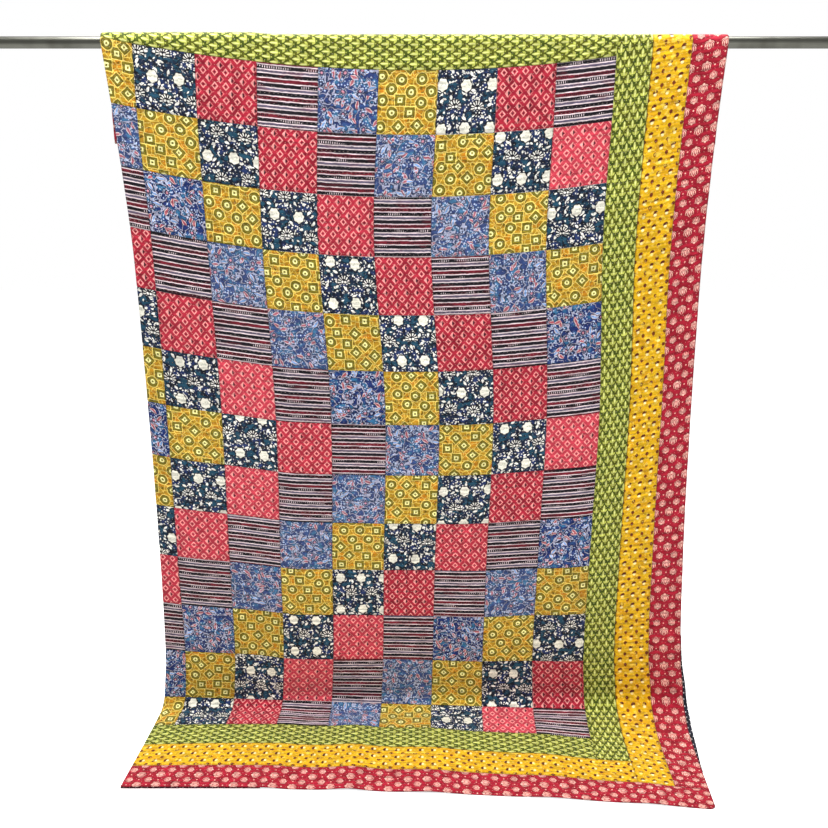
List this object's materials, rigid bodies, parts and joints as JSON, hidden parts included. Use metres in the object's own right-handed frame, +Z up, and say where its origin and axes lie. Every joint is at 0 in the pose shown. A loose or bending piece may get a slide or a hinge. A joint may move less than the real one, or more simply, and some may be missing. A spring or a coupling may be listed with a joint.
{
  "type": "patchwork quilt on rod",
  "caption": "Block-printed cotton patchwork quilt with three border strips, draped over a plain round rod, its lower end bent forward and laid on the floor.",
  "frame": {"origin": "on the floor, at the centre of the part's bounding box in X and Y", "axes": "+X along the rod, from the quilt's folded side to its flat side; -Y out of the quilt's printed face, towards the end that lies on the floor; +Z up"},
  "size_m": [2.36, 0.5148, 2.0246],
  "materials": {
    "rod_metal": "satin grey metal",
    "patchwork": "block-printed cotton squares in five prints, matte",
    "green_border": "olive cotton with lime leaf motifs, matte",
    "yellow_border": "yellow cotton with small maroon caps, matte",
    "red_border": "crimson cotton with pale floral motifs, matte",
    "backing": "dark indigo cotton with pale spots, matte"
  },
  "bodies": {
    "root": {"rod": "rod_metal", "field": "patchwork", "green_top": "green_border", "green_bottom": "green_border", "green_left": "green_border", "green_right": "green_border", "yellow_top": "yellow_border", "yellow_bottom": "yellow_border", "yellow_left": "yellow_border", "yellow_right": "yellow_border", "red_top": "red_border", "red_bottom": "red_border", "red_left": "red_border", "red_right": "red_border", "backing_hem": "backing"}
  },
  "joints": []
}
